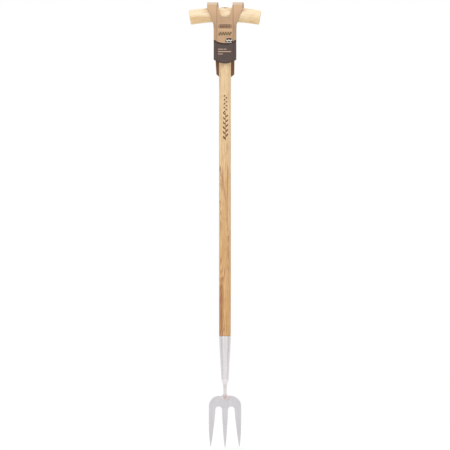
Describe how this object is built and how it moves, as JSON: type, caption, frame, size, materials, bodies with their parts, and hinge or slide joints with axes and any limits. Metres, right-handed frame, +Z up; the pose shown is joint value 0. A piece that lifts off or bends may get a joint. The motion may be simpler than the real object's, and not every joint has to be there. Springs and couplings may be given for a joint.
{
  "type": "digging fork",
  "caption": "Long-handled digging fork: flat pointed tines on a cranked steel neck and socket, round ash shaft, arched crossbar grip, folded card sleeve looped over the grip.",
  "frame": {"origin": "on the shaft's axis at the level of the centre tine's tip, which is the bottom centre of the whole fork", "axes": "+Z up along the shaft to the grip, +X along the crossbar, front of the fork (where the tines sweep to) towards -Y"},
  "size_m": [0.171, 0.0378, 1.047],
  "materials": {
    "satin_steel": "satin stainless steel, faintly tumbled",
    "weld_steel": "cleaned weld bead with a slight heat tint",
    "polished_steel": "fine polished stainless steel",
    "ash": "sanded ash under a thin satin lacquer",
    "hardwood": "darker sanded hardwood end grain",
    "kraft_card": "uncoated brown kraft card, printed"
  },
  "bodies": {
    "fork": {"shaft": "ash", "crossbar": "ash", "crossbar_wedge": "hardwood", "crossbar_dowel": "hardwood", "socket": "polished_steel", "socket_rivet": "polished_steel", "socket_weld": "weld_steel", "neck": "satin_steel", "head_weld": "weld_steel", "fork_head": "satin_steel"},
    "card_sleeve": {"card_sleeve": "kraft_card"}
  },
  "joints": [
    {"name": "sleeve_slide", "type": "slide", "parent": "fork", "child": "card_sleeve", "axis": [0, 0, 1], "range_m": [-0.0102, 0.0036]}
  ]
}
